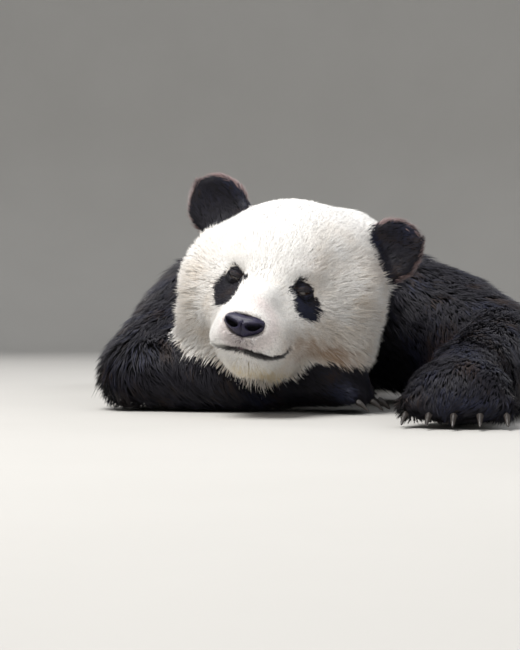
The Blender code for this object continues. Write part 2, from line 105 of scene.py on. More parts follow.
# The mouth's left half on the muzzle, in the head's own frame, from the middle to the corner.
MOUTH_HALF = np.array([
    (0.000, -0.166, -0.0832),
    (0.012, -0.165, -0.0845),
    (0.023, -0.164, -0.0882),
    (0.034, -0.159, -0.0920),
    (0.042, -0.154, -0.0908),
    (0.048, -0.146, -0.0842),
    (0.051, -0.132, -0.0735),
    (0.052, -0.122, -0.0660),
])

# Eye patches: side, centre and half sizes in the head's front view, and slant.
PATCHES = (
    (1, (0.0475, -0.0080), (0.0255, 0.0145), np.radians(-68.5)),
    (-1, (0.0482, -0.0107), (0.0262, 0.0162), np.radians(-84.0)),
)
PATCH_CORNER = (0.0330, -0.0010)
PATCH_CORNER_HALF = (0.0070, 0.0050)
SLIT_TILT = np.radians(12.0)
SLIT_HALF = 0.0098
SLIT_OPEN = 0.0013
SLIT_DROP = 0.0030
LID_FOLD = 0.0088
LID_FOLD_BEND = 34.0

# Soft spots on the head: strength, middle and width across, middle and height upwards, and how far back.
FACE_FOLDS = (
    (-0.0016, 0.000, 0.012, 0.002, 0.0035, -0.09),
    (0.0022, 0.044, 0.020, 0.024, 0.0090, -0.05),
    (0.0020, 0.050, 0.014, -0.062, 0.0220, -0.08),
)
# Brown on the white of the head: stain by the mouth and on the brows, and, in the last row, painted shade
# at the base of the left ear.
BROWN_SPOTS_AND_SHADE = (
    (1.30, 0.080, 0.030, -0.064, 0.015, 0.00),
    (0.24, 0.047, 0.016, 0.031, 0.012, -0.08),
    (0.24, -0.047, 0.016, 0.031, 0.012, -0.08),
    (0.50, 0.056, 0.012, -0.078, 0.010, -0.08),
    # Painted shade at the base of the left ear.
    (0.60, 0.113, 0.012, 0.046, 0.022, 0.03),
)

# The left cheek against the right forepaw: how high the paw's fur comes, how far it reaches past the
# paw's box, and how much deeper the skin lies there.
PAW_RISE = (0.050, 0.024)
PAW_REACH = (0.008, 0.010)
PAW_DEPTH = 0.006
CHIN_LIFT = 0.006

FULL_TURN = 6.283

# Rounds of evening out, over the skin's points.
DEPTH_ROUNDS = 14
CROWN_ROUNDS = 24
FACE_ROUNDS = 10
LIE_ROUNDS = 22

# Tufts: how many lean together, how deep their roots are, how they turn aside, and how they fall.
LOCK_SIZE = 6
ROOT_DEPTH = 0.0012
TURN_BROAD = 0.20
TURN_FINE = 0.16
TURN_LOCK = 0.13
TURN_ONE = 0.10
LOCK_CHANGE = 0.10
TUFT_FALL = (0, 0, -0.10)
FEWEST_TUFTS = 20
CHIN_WISPS = 320
EAR_WISPS = 2200

# Lamps: place from the head, size, power and colour.
LAMPS = {
    "key": ((-0.8, -0.9, 2.4), 1.5, 104, (1.0, 0.985, 0.96)),
    "fill": ((1.9, -2.2, 0.9), 2.2, 12, (0.94, 0.96, 1.0)),
    "rim_left": ((-1.8, 2.3, 1.9), 1.4, 26, (1.0, 0.97, 0.95)),
    "rim_right": ((2.0, 2.2, 1.7), 1.4, 22, (0.96, 0.96, 1.0)),
}
SKY_LIGHT = 0.62


# ------ the head's own frame
def centre_of(node):
    low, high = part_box(node)
    return np.array((low + high) / 2)


def unit(vectors):
    return vectors / np.maximum(np.linalg.norm(vectors, axis=-1, keepdims=True), 1e-12)


def head_frame():
    """The head's middle and its axes as columns: to its left, to the back, and up."""
    left, right, nose = centre_of("eye_left"), centre_of("eye_right"), centre_of("nose")
    across = unit(left - right)
    middle = (left + right) / 2
    drop = nose - middle
    ahead = unit(drop - across * (drop @ across))
    over = np.cross(across, ahead)
    slope = unit(np.array([NOSE_LOCAL[1] - EYE_LOCAL[1], NOSE_LOCAL[2] - EYE_LOCAL[2]]))
    back = slope[0] * ahead - slope[1] * over
    up = slope[1] * ahead + slope[0] * over
    axes = np.stack([across, back, up], axis=1)
    return middle - axes @ np.array([0.0, EYE_LOCAL[1], EYE_LOCAL[2]]), axes


HEAD_MIDDLE, HEAD_AXES = head_frame()


def to_head(points):
    return (points - HEAD_MIDDLE) @ HEAD_AXES


def from_head(local):
    return np.asarray(local) @ HEAD_AXES.T + HEAD_MIDDLE


def way_from_head(local):
    return np.asarray(local) @ HEAD_AXES.T


# ------ small maths
def smooth(low, high, value):
    t = np.clip((value - low) / (high - low), 0.0, 1.0)
    return t * t * (3 - 2 * t)


def bell(value, width):
    return np.exp(-((value / width) ** 2))


def lengths(vectors):
    return np.linalg.norm(vectors, axis=1)


def along_skin(ways, normals):
    """The ways as unit directions square to the normals."""
    return unit(ways - normals * (ways * normals).sum(1, keepdims=True))


def turned(one, two, angle):
    """Places on two axes that are turned by an angle."""
    c, s = np.cos(angle), np.sin(angle)
    return one * c + two * s, -one * s + two * c


class Waves:
    """A smooth field over space, from -1 to 1, of a few sine waves of about one length."""

    def __init__(self, length, seed, count=7):
        own = np.random.default_rng(seed)
        self.turns = unit(own.normal(size=(count, 3))) * (FULL_TURN / length)
        self.turns *= own.uniform(0.6, 1.7, (count, 1))
        self.phases = own.uniform(0, FULL_TURN, count)
        self.scale = (2.0 / count) ** 0.5

    def __call__(self, points):
        return np.sin(points @ self.turns.T + self.phases).sum(1) * self.scale * 0.7


def kind_of(node):
    """The coat's name for a CAD node: a leg's or ear's side is left out."""
    return "_".join(word for word in node.split("_") if word not in ("left", "right"))


# ------ meshes as arrays
def mesh_arrays(mesh):
    points = np.empty(len(mesh.vertices) * 3)
    mesh.vertices.foreach_get("co", points)
    mesh.calc_loop_triangles()
    triangles = np.empty(len(mesh.loop_triangles) * 3, np.int32)
    mesh.loop_triangles.foreach_get("vertices", triangles)
    return points.reshape(-1, 3), triangles.reshape(-1, 3)


def put_points(mesh, points):
    mesh.vertices.foreach_set("co", points.ravel())
    mesh.update()


def put_numbers(mesh, name, values):
    data = mesh.attributes.new(name, "FLOAT", "POINT").data
    data.foreach_set("value", values.astype(np.float32))


def put_colours(mesh, name, colours):
    full = np.ones((len(colours), 4), np.float32)
    full[:, :3] = colours
    mesh.color_attributes.new(name, "FLOAT_COLOR", "POINT").data.foreach_set("color", full.ravel())


def smooth_faces(mesh):
    mesh.polygons.foreach_set("use_smooth", np.ones(len(mesh.polygons), bool))


def poured(work, mesh):
    """The mesh, filled from a bmesh that is then let go."""
    work.to_mesh(mesh)
    work.free()
    return mesh


def bmesh_of(mesh):
    work = bmesh.new()
    work.from_mesh(mesh)
    return work


def swollen(mesh, amount):
    """A bmesh of the mesh with its double points joined, moved out along its normals."""
    work = bmesh_of(mesh)
    bmesh.ops.remove_doubles(work, verts=work.verts, dist=1e-5)
    bmesh.ops.recalc_face_normals(work, faces=work.faces)
    work.normal_update()
    moved = {vert: vert.co + vert.normal * amount for vert in work.verts}
    for vert, place in moved.items():
        vert.co = place
    return work


class Surface:
    """Points and triangles, with means over neighbours and normals."""

    def __init__(self, points, triangles):
        self.points = points
        self.triangles = triangles
        pairs = np.concatenate([triangles[:, [0, 1]], triangles[:, [1, 2]], triangles[:, [2, 0]]])
        pairs = np.sort(pairs, axis=1)
        keys = np.unique(pairs[:, 0].astype(np.int64) * len(points) + pairs[:, 1])
        one, two = keys // len(points), keys % len(points)
        self.ends = np.concatenate([one, two])
        self.others = np.concatenate([two, one])
        self.degree = np.maximum(np.bincount(self.ends, minlength=len(points)), 1)

    def total(self, index, values):
        count = len(self.points)
        return np.stack([np.bincount(index, column, minlength=count) for column in values.T], axis=1)

    def spread(self, values, rounds, share=0.5, where=None):
        """Values moved towards the mean of their neighbours, a number of times."""
        flat = values.astype(float).reshape(len(values), -1)
        amount = share if where is None else share * where[:, None]
        for _ in range(rounds):
            mean = self.total(self.ends, flat[self.others]) / self.degree[:, None]
            flat = flat + (mean - flat) * amount
        return flat.reshape(values.shape)

    def crosses(self):
        a, b, c = (self.points[self.triangles[:, k]] for k in range(3))
        return np.cross(b - a, c - a)

    def normals(self):
        return unit(self.total(self.triangles.T.ravel(), np.tile(self.crosses(), (3, 1))))

    def areas(self):
        return lengths(self.crosses()) / 2

    def push(self, change):
        """Moves each point out along its normal."""
        self.points = self.points + self.normals() * change[:, None]


def new_object(name, mesh):
    thing = bpy.data.objects.new(name, mesh)
    bpy.context.scene.collection.objects.link(thing)
    return thing


def after_modifier(thing):
    """The thing's mesh as its modifier makes it; the thing itself is let go."""
    graph = bpy.context.evaluated_depsgraph_get()
    made = bpy.data.meshes.new_from_object(thing.evaluated_get(graph))
    bpy.data.objects.remove(thing)
    return made


# ------ which part is nearest
NOT_FLESH = ("eye", "nose", "claw")
FLESH = [n for n in sorted(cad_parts) if not n.startswith(NOT_FLESH)]
HEAD = FLESH.index("head")


def owned(owner, *names):
    """True where one of the named nodes owns the point."""
    return np.isin(owner, [FLESH.index(name) for name in names])


def against_paw(points):
    """True low on the left cheek, where the fur of the right forepaw closes round it."""
    low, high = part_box("forepaw_right")
    across = to_head(points)[:, 0]
    rise = PAW_RISE[0] + PAW_RISE[1] * smooth(0.040, 0.062, across) * smooth(0.140, 0.126, across)
    x, y, z = points.T
    over = (x > low.x) & (x < high.x + PAW_REACH[0]) & (y > low.y - PAW_REACH[1]) & (y < high.y)
    return over & (z < rise)


class NearestNode:
    """Tells the flesh node that is nearest to each point."""

    def __init__(self):
        points, faces = zip(*(mesh_arrays(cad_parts[name].data) for name in FLESH))
        starts = np.cumsum([0] + [len(own) for own in points])
        faces = [own + start for own, start in zip(faces, starts)]
        self.owner = np.repeat(np.arange(len(FLESH)), [len(own) for own in faces])
        self.tree = BVHTree.FromPolygons(np.concatenate(points).tolist(), np.concatenate(faces).tolist())

    def __call__(self, points):
        found = [self.tree.find_nearest(p)[2] for p in points.tolist()]
        owner = self.owner[np.array(found)]
        tucked = against_paw(points) & (owner == HEAD)
        return np.where(tucked, FLESH.index("forepaw_right"), owner)


nearest_node = NearestNode()


# ------ the skin
def swollen_flesh():
    """The flesh nodes, the nose and the eyes in one mesh, each a little swollen so that they meet."""
    whole = bmesh.new()
    for name in FLESH + ["nose"]:
        mesh = poured(swollen(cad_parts[name].data, NODE_SWELL), bpy.data.meshes.new("part"))
        whole.from_mesh(mesh)
        bpy.data.meshes.remove(mesh)
    for side in ("left", "right"):
        found = bmesh.ops.create_icosphere(whole, subdivisions=3, radius=EYE_RADIUS + EYE_FILL)
        for vert in found["verts"]:
            vert.co += Vector(centre_of("eye_" + side))
    return poured(whole, bpy.data.meshes.new("flesh"))


def shell_mesh():
    """One closed even mesh round all the flesh."""
    thing = new_object("shell", swollen_flesh())
    remesh = thing.modifiers.new("even", "REMESH")
    remesh.mode = "VOXEL"
    remesh.voxel_size = SHELL_VOXEL
    return after_modifier(thing)


def head_coat(local):
    """Depth, length and width of the coat at points on the head."""
    x, y, z = local.T
    from_nose = lengths(local - NOSE_LOCAL)
    face = smooth(0.034, 0.075, from_nose)
    crown = smooth(0.085, 0.135, from_nose) * smooth(0.0, 0.05, z)
    side = smooth(0.055, 0.105, np.abs(x)) * (1 - 0.6 * smooth(0.02, 0.09, z))
    below = smooth(-0.055, -0.105, z) * smooth(-0.13, -0.08, y)
    behind = smooth(0.02, 0.08, y)
    cheek = np.clip(side + 0.6 * below + 0.8 * behind, 0, 1)
    coat = np.tile(np.array(MUZZLE_COAT), (len(local), 1))
    for share, kind in (
        (face, FACE_COAT),
        (crown * (1 - cheek), CROWN_COAT),
        (cheek, CHEEK_COAT),
        (bell(z + 0.078, 0.012) * smooth(-0.09, -0.12, y), LIP_COAT),
        (smooth(-0.086, -0.096, z) * smooth(-0.07, -0.10, y), CHIN_COAT),
        (bell(eye_distance(local) - 0.010, 0.010) * (y < -0.07), LID_COAT),
    ):
        coat = coat + share[:, None] * (np.array(kind) - coat)
    return coat


def coat_at(points, owner):
    """Depth, length and width of the coat at each point, by the node that owns it."""
    coat = np.array([COAT.get(kind_of(name), CHEEK_COAT) for name in FLESH])[owner]
    coat[owner == HEAD] = head_coat(to_head(points[owner == HEAD]))
    return coat


def inset(surface, depth):
    """Moves the surface in by the depth of the coat, in steps, and evens it out."""
    steps = 4
    for _ in range(steps):
        surface.push(-depth / steps)
        surface.points = surface.spread(surface.points, 2, 0.4)


def refine(mesh, near):
    """Splits the edges whose both ends are where near says."""
    work = bmesh_of(mesh)
    inside = near(np.array([v.co[:] for v in work.verts]))
    work.edges.ensure_lookup_table()
    work.verts.index_update()
    edges = [e for e in work.edges if inside[e.verts[0].index] and inside[e.verts[1].index]]
    bmesh.ops.subdivide_edges(work, edges=edges, cuts=1, use_grid_fill=True)
    poured(work, mesh)


def near_face(places):
    x, y, z = to_head(places).T
    return (y < -0.045) & (np.abs(x) < 0.095) & (z < 0.06)


def near_muzzle(places):
    local = to_head(places)
    return (lengths(local - (0, -0.150, -0.068)) < 0.062) | (eye_distance(local) < 0.024)


def mouth_points(steps):
    """The mouth in the head's frame, from its right corner to its left, in steps between its points."""
    along = np.concatenate([(MOUTH_HALF * (-1, 1, 1))[:0:-1], MOUTH_HALF])
    dense = [np.linspace(a, b, steps, endpoint=False) for a, b in zip(along[:-1], along[1:])]
    return np.concatenate(dense + [along[-1:]])


def near_slits(places):
    local = to_head(places)
    eyes = (eye_distance(local) < 0.0165) & (local[:, 1] < -0.08)
    gap = np.linalg.norm(local[:, None, :] - mouth_points(5)[None], axis=2).min(1)
    return eyes | (gap < 0.0075)


def eye_distance(local):
    return lengths(np.column_stack([np.abs(local[:, 0]), local[:, 1:]]) - EYE_LOCAL)


def slit_places(local):
    """Places along and across the eye's slit, and the eye's distance, by mirrored head places."""
    out = local - EYE_LOCAL
    along, across = turned(out[:, 0], out[:, 2], SLIT_TILT)
    sag = SLIT_DROP * (1 - (along / SLIT_HALF) ** 2 * 0.6)
    return along, across + sag, lengths(out)


def mirrored_head(points):
    """Places in the head's frame, with both sides folded onto the left one."""
    local = to_head(points)
    side = np.where(local[:, 0] < 0, -1.0, 1.0)
    local[:, 0] = np.abs(local[:, 0])
    return local, side


def shape_lids(surface):
    """Lids nearly closed over each eye, with a crease above and below."""
    local, side = mirrored_head(surface.points)
    along, across, reach = slit_places(local)
    near = (reach < 0.021) & (local[:, 1] < EYE_LOCAL[1] + 0.004)
    lid = EYE_RADIUS + 0.0017 - 0.0004 * smooth(0.0, 0.006, across)
    fold = across - LID_FOLD + LID_FOLD_BEND * along**2
    crease = 0.0012 * bell(fold, 0.0010) - 0.0010 * bell(fold - 0.0022, 0.0014)
    crease += 0.0007 * bell(across + 0.0048 - 0.5 * LID_FOLD_BEND * along**2, 0.0010)
    half = SLIT_OPEN * np.sqrt(np.clip(1 - (along / SLIT_HALF) ** 2, 0, 1))
    open_share = smooth(half + 0.0003, half - 0.0002, np.abs(across)) * (half > 0.0003)
    margin = 0.0005 * bell(np.abs(across) - half - 0.0007, 0.0006) * (half > 0.0003)
    wanted = lid - crease + margin - open_share * 0.0045
    hold = smooth(0.0175, 0.0120, np.hypot(along, across))
    wanted = np.where(reach > wanted, wanted + (reach - wanted) * (1 - hold), wanted)
    out = (local - EYE_LOCAL) / np.maximum(reach, 1e-9)[:, None]
    moved = EYE_LOCAL + out * wanted[:, None]
    local = np.where(near[:, None], moved, local)
    local[:, 0] *= side
    surface.points = np.where(near[:, None], from_head(local), surface.points)


def mouth_line(surface):
    """The mouth as points on the skin, from the right corner to the left one."""
    muzzle = near_muzzle(surface.points)[surface.triangles].all(axis=1)
    tree = BVHTree.FromPolygons(surface.points.tolist(), surface.triangles[muzzle].tolist())
    found = np.array([tree.find_nearest(p)[0][:] for p in from_head(mouth_points(8)).tolist()])
    for _ in range(4):
        found[1:-1] = (found[:-2] + 2 * found[1:-1] + found[2:]) / 4
    return found


def line_gap(points, line):
    """Distance to a line of points, and how far along it the nearest point is, from 0 to 1."""
    gap = np.full(len(points), 1.0)
    along = np.zeros(len(points))
    near = np.flatnonzero(lengths(points - line.mean(0)) < 0.09)
    for k in range(len(line) - 1):
        far, t = leg_gap(points[near], line[k], line[k + 1])
        closer = far < gap[near]
        gap[near[closer]] = far[closer]
        along[near[closer]] = (k + t[closer]) / (len(line) - 1)
    return gap, along


def leg_gap(points, start, end):
    """Distance to a straight line between two places, and how far along it the nearest point is."""
    leg = end - start
    t = np.clip((points - start) @ leg / max(leg @ leg, 1e-12), 0, 1)
    return lengths(points - start - t[:, None] * leg), t


def mouth_share(along):
    """How open the mouth's line is along its length: it closes early on the animal's right."""
    return smooth(0.18, 0.40, along) * smooth(1.0, 0.95, along)


def lip_reach(along):
    """How much deeper the dark of the lower lip goes along the mouth, most on the animal's left."""
    return 0.0008 + 0.0036 * smooth(0.40, 0.58, along) * smooth(0.97, 0.84, along)


def height_over(line, along, local):
    """How high places in the head's frame are over the mouth's line."""
    return local[:, 2] - np.interp(along, np.linspace(0, 1, len(line)), to_head(line)[:, 2])


def shape_mouth(surface):
    """The mouth's groove with a full upper lip, and the groove up to the nose."""
    line = mouth_line(surface)
    gap, along = line_gap(surface.points, line)
    local = to_head(surface.points)
    x, y, z = local.T
    above = smooth(-0.001, 0.002, height_over(line, along, local))
    wide = 0.0017 + 0.0011 * smooth(0.45, 0.75, along)
    groove = -0.0058 * bell(gap, wide) * (0.25 + 0.75 * mouth_share(along))
    lip = 0.0014 * bell(gap - 0.0042, 0.0030) * above + 0.0009 * bell(gap - 0.0036, 0.0026) * (1 - above)
    split = bell(x - LIP_SPLIT, 0.0014) * above * (z < -0.058) * (y < MUZZLE_FRONT)
    split = split * smooth(-0.088, -0.080, z)
    surface.push(groove + lip - 0.0016 * split)
    return line


def soft_spots(local, table):
    x, y, z = local.T
    total = 0
    for strength, across, wide, up, tall, back in table:
        total = total + strength * bell(x - across, wide) * bell(z - up, tall) * (y < back)
    return total


def shape_face(surface):
    """Soft folds: the stop between the eyes, the brows, and the fold behind the muzzle."""
    surface.push(soft_spots(mirrored_head(surface.points)[0], FACE_FOLDS))


def nose_reach(local):
    """Distance from the nose pad's middle in the front view, with 1 at its rim."""
    x, _, z = local.T
    return np.hypot((x - NOSE_SHIFT) / NOSE_HALF[0], (z - NOSE_LOCAL[2] + NOSE_SINK) / NOSE_HALF[2])


def shape_nose_bed(surface):
    """A hollow in the skin under the nose pad, so that the nostrils have depth."""
    local = to_head(surface.points)
    share = smooth(0.98, 0.72, nose_reach(local)) * (local[:, 1] < MUZZLE_FRONT)
    surface.points = surface.points + way_from_head((0, 0.011, 0)) * share[:, None]


def unwrap(mesh):
    """A UV map of the shell's own shape, which the skin and every tuft's root share."""
    mesh.uv_layers.new(name="OFBake")
    thing = new_object("unwrap", mesh)
    bpy.context.view_layer.objects.active = thing
    thing.select_set(True)
    bpy.ops.object.mode_set(mode="EDIT")
    bpy.ops.mesh.select_all(action="SELECT")
    bpy.ops.uv.smart_project(angle_limit=1.15, island_margin=0.004, scale_to_bounds=True)
    bpy.ops.object.mode_set(mode="OBJECT")
    bpy.data.objects.remove(thing)


def build_skin():
    """The skin's mesh and surface, and the line of its mouth."""
    mesh = shell_mesh()
    unwrap(mesh)
    surface = Surface(*mesh_arrays(mesh))
    owner = nearest_node(surface.points)
    depth = coat_at(surface.points, owner)[:, 0] + PAW_DEPTH * against_paw(surface.points)
    depth = surface.spread(depth, DEPTH_ROUNDS)
    _, y, z = to_head(surface.points).T
    chin = smooth(-0.092, -0.122, z) * smooth(-0.020, -0.060, y) * (owner == HEAD)
    crown = smooth(0.040, 0.075, z) * owned(owner, "head", "neck")
    surface.points = surface.spread(surface.points, CROWN_ROUNDS, 0.6, where=crown)
    inset(surface, depth - 0.0010 * crown)
    surface.points[:, 2] += CHIN_LIFT * chin
    put_points(mesh, surface.points)
    for near in (near_face, near_muzzle, near_slits):
        refine(mesh, near)
    work = bmesh_of(mesh)
    bmesh.ops.triangulate(work, faces=work.faces)
    surface = Surface(*mesh_arrays(poured(work, mesh)))
    face = near_face(surface.points).astype(float)
    surface.points = surface.spread(surface.points, FACE_ROUNDS, 0.6, where=face)
    shape_face(surface)
    shape_lids(surface)
    line = shape_mouth(surface)
    shape_nose_bed(surface)
    surface.points[:, 2] = np.maximum(surface.points[:, 2], FLOOR_CLEARANCE * 2)
    put_points(mesh, surface.points)
    smooth_faces(mesh)
    return mesh, surface, line


# ------ markings
def patch_share(points):
    """1 inside an eye patch and 0 outside, with a soft rim."""
    local, side = mirrored_head(points)
    x, y, z = local.T
    corner = [(place - PATCH_CORNER[k]) / PATCH_CORNER_HALF[k] for k, place in enumerate((x, z))]
    share = smooth(1.2, 0.8, np.hypot(*corner))
    for sign, middle, half, slant in PATCHES:
        along, across = turned(x - middle[0], z - middle[1], slant)
        along = along / half[0]
        body = smooth(1.12, 0.90, np.hypot(along, across / (half[1] * (1 + 0.14 * along))))
        share = np.where(side == sign, np.maximum(share, body), share)
    return share * (y < -0.05)


def black_share(surface, owner):
    """How black the coat is at each point of the skin: ears, legs, shoulders and eye patches."""
    points = surface.points
    x, y, z = points.T
    black = np.array([kind_of(name).startswith(("ear", "fore", "hind", "shoulders")) for name in FLESH])
    low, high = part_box("shoulders")
    aside = np.abs(x - (low.x + high.x) / 2) + 0.022 * (x < 0)
    front = low.y + 0.010 + 0.045 * smooth(0.10, 0.28, z) - 0.14 * smooth(0.055, 0.130, aside)
    rear = high.y + 0.015 + 0.085 * smooth(0.180, 0.225, z)
    y = y + Waves(0.07, 5)(points) * 0.012
    saddle = smooth(front - 0.004, front + 0.004, y) * smooth(rear + 0.004, rear - 0.004, y)
    share = np.where(owned(owner, "shoulders", "trunk", "neck"), saddle, black[owner].astype(float))
    for side in ("left", "right"):
        gap = lengths(points - centre_of("ear_" + side))
        share = np.maximum(share, smooth(0.050, 0.044, gap) * (owner == HEAD))
    return np.maximum(surface.spread(share, 3), patch_share(points))


# ------ the lie of the coat
def lie_of_coat(surface, owner):
    """A unit direction along the skin at each point, in which the fur lies."""
    middle = {name: centre_of(name) for name in FLESH}
    ways = {
        "head": (0, 1, 0),
        "trunk": (0, 1, -0.12),
        "shoulders": (0, 1, -0.2),
        "neck": (0, 1, -0.35),
        "tail": (0, 0.25, -1),
    }
    for side, sign in (("left", 1), ("right", -1)):
        upper, lower, paw = (f"foreleg_{side}_upper", f"foreleg_{side}_lower", "forepaw_" + side)
        ways[upper] = middle[lower] - middle["shoulders"]
        ways[lower] = middle[paw] - middle[upper]
        ways[paw] = middle[paw] - middle[lower]
        ways[f"hindleg_{side}_upper"] = (sign * 0.45, 0.15, -1)
        ways[f"hindleg_{side}_lower"] = (sign * 1.0, -0.1, -0.3)
        ways["hindpaw_" + side] = (sign * 1.0, 0.2, -0.2)
        ways["ear_" + side] = middle["ear_" + side] - HEAD_MIDDLE
    way = unit(np.array([ways[name] for name in FLESH], float))[owner]
    local = to_head(surface.points)
    on_head = owner == HEAD
    radial = unit(local - NOSE_LOCAL)
    radial[:, 2] -= 0.35 * smooth(0.02, -0.05, local[:, 2]) * smooth(0.04, 0.08, np.abs(local[:, 0]))
    folded, side = mirrored_head(surface.points)
    off_eye = unit(folded - EYE_LOCAL)
    off_eye[:, 0] *= side
    radial += 1.6 * off_eye * bell(eye_distance(local), 0.022)[:, None]
    way[on_head] = way_from_head(radial)[on_head]
    way[:, 2] -= 0.35 * np.array([name.startswith(("fore", "hind")) for name in FLESH])[owner]
    normals = surface.normals()
    keep = 0.75 * on_head[:, None]
    for _ in range(LIE_ROUNDS):
        way = along_skin(way * keep + surface.spread(way, 1, 1.0) * (1 - keep), normals)
    return way


# ------ roots of the tufts
def morton(points):
    """A number per point that puts near points near each other."""
    cell = ((points - points.min(0)) / np.ptp(points, axis=0).max() * 1023).astype(np.int64)
    code = np.zeros(len(points), np.int64)
    for bit in range(10):
        for axis in range(3):
            code |= ((cell[:, axis] >> bit) & 1) << (3 * bit + axis)
    return code


class Roots:
    """Where tufts grow: triangles and shares of their corners, in an order that runs over the skin."""

    def __init__(self, surface, per_area):
        triangles = surface.triangles
        middle = surface.points[triangles].mean(1)
        order = np.argsort(morton(middle), kind="stable")
        weight = surface.areas() * per_area[triangles].mean(1)
        running = np.cumsum(weight[order])
        count = int(running[-1])
        ticks = np.arange(count) + rng.uniform(0.1, 0.9, count)
        self.triangle = order[np.minimum(np.searchsorted(running, ticks), len(order) - 1)]
        one, two = rng.uniform(size=count), rng.uniform(size=count)
        flip = one + two > 1
        one, two = np.where(flip, 1 - one, one), np.where(flip, 1 - two, two)
        self.shares = np.stack([1 - one - two, one, two], axis=1)
        self.corners = triangles[self.triangle]

    def __len__(self):
        return len(self.triangle)

    def at(self, values):
        shares = self.shares if values.ndim == 1 else self.shares[:, :, None]
        return (values[self.corners] * shares).sum(1)

    def on_map(self, corner_uv):
        """Places on the skin's UV map, from its three corners' places per triangle."""
        return (corner_uv[self.triangle] * self.shares[:, :, None]).sum(1)

    def stand(self, surface, way):
        """The place, the skin's normal and the lie of the coat at each root."""
        normal = unit(self.at(surface.normals()))
        return self.at(surface.points), normal, along_skin(self.at(way), normal)


def group_mean(values, group):
    count = np.maximum(np.bincount(group), 1)
    return np.stack([np.bincount(group, c) / count for c in values.T], axis=1)[group]


# A tuft is a bent spindle: a root, a ring of three points round its middle, and a tip.
RING_SIDE = np.array([-0.5, 0.5, 0.0])
RING_RISE = np.array([-0.10, -0.10, 0.24])
TUFT_FACES = np.array([(0, 1, 2), (0, 3, 1), (0, 2, 3), (4, 2, 1), (4, 1, 3), (4, 3, 2)])
TUFT_ON_MAP = np.array([(0, -1), (-1, 0), (1, 0), (0, 0.2), (0, 1)])
PATCH_WIDE = 0.0015


def tuft_mesh(name, t):
    """One mesh of the tufts in t: centre lines, widths, colours, normals and UV places."""
    count = len(t["root"])
    ahead = unit(t["middle"] - t["root"])
    onward = unit(t["tip"] - t["middle"])
    way = unit(ahead + onward)
    side = unit(np.cross(way, t["normal"]))
    rise = unit(np.cross(side, way))
    points = np.empty((count, 5, 3))
    shade = np.empty((count, 5, 3))
    points[:, 0], points[:, 4] = t["root"], t["tip"]
    shade[:, 0] = t["normal"]
    shade[:, 4] = unit(t["normal"] * 0.9 + onward * 0.25)
    for corner in range(3):
        off = side * RING_SIDE[corner] + rise * RING_RISE[corner]
        points[:, corner + 1] = t["middle"] + off * t["width"][:, None]
        shade[:, corner + 1] = unit(t["normal"] * 0.9 + unit(off) * 0.4)
    points[:, :, 2] = np.maximum(points[:, :, 2], FLOOR_CLEARANCE)
    starts = (np.arange(count) * 5)[:, None, None]
    loops = (TUFT_FACES[None] + starts).reshape(-1).astype(np.int32)
    mesh = bpy.data.meshes.new(name)
    mesh.vertices.add(count * 5)
    mesh.vertices.foreach_set("co", points.astype(np.float32).ravel())
    mesh.loops.add(len(loops))
    mesh.loops.foreach_set("vertex_index", loops)
    mesh.polygons.add(count * 6)
    mesh.polygons.foreach_set("loop_start", np.arange(0, len(loops), 3, dtype=np.int32))
    mesh.update(calc_edges=True)
    smooth_faces(mesh)
    mesh.normals_split_custom_set_from_vertices(shade.reshape(-1, 3))
    on_map = (t["map"][:, None] + TUFT_ON_MAP * PATCH_WIDE).reshape(-1, 2)
    layer = mesh.uv_layers.new(name="OFBake")
    layer.uv.foreach_set("vector", on_map[loops].astype(np.float32).ravel())
    levels = ("root_tint", "middle_tint", "middle_tint", "middle_tint", "tip_tint")
    put_colours(mesh, "coat_tint", np.stack([t[level] for level in levels], axis=1).reshape(-1, 3))
    return mesh


# ------ colours of the coat
WHITE_TIP = np.array([0.93, 0.915, 0.89])
# Painted shade deep in the white coat, at the tufts' roots.
WHITE_ROOT_SHADE = np.array([0.46, 0.36, 0.27])
WHITE_SHADOW = np.array([0.70, 0.59, 0.47])
CREAM = np.array([0.72, 0.55, 0.25])
# Brown of the stain on the head, also used for the painted shade at the base of the left ear.
BROWN_STAIN_AND_SHADE = np.array([0.34, 0.21, 0.125])
PINK = np.array([0.70, 0.50, 0.50])
BLACK_TIP = np.array([0.014, 0.013, 0.020])
# Painted shade deep in the black coat, at the tufts' roots and on the skin under it.
BLACK_ROOT_SHADE = np.array([0.005, 0.005, 0.007])
BLACK_BROWN = np.array([0.036, 0.022, 0.018])
BLACK_BLUE = np.array([0.014, 0.017, 0.040])
WORN_BROWN = np.array([0.30, 0.18, 0.14])
# Painted backlight: the pale glow on the rim of each ear, where light shines through the hair.
EAR_RIM_BACKLIGHT = np.array([0.30, 0.205, 0.20])
LIP = np.array([0.008, 0.006, 0.008])
# Purplish: the skin of the groove under the nose, and the painted shade on the fur under the nose pad.
LIP_PURPLE_AND_SHADE = np.array([0.10, 0.060, 0.075])
# Brown along each lid's fold: partly the lid's own brown, partly a painted highlight.
LID_BROWN_AND_HIGHLIGHT = np.array([0.038, 0.021, 0.018])
# How dark the lips are and how strong the painted shade under the nose is, at a tuft's root, middle and
# tip.
# On the tufts the mouth's dark is partly the lips' own dark and partly painted shade in the mouth's
# crease.
LIP_DARK_AND_SHADE = (1.0, 0.97, 0.90)
LIP_SHADED = (0.95, 0.62, 0.22)


def mix(one, two, share):
    return one + (two - one) * np.asarray(share)[:, None]


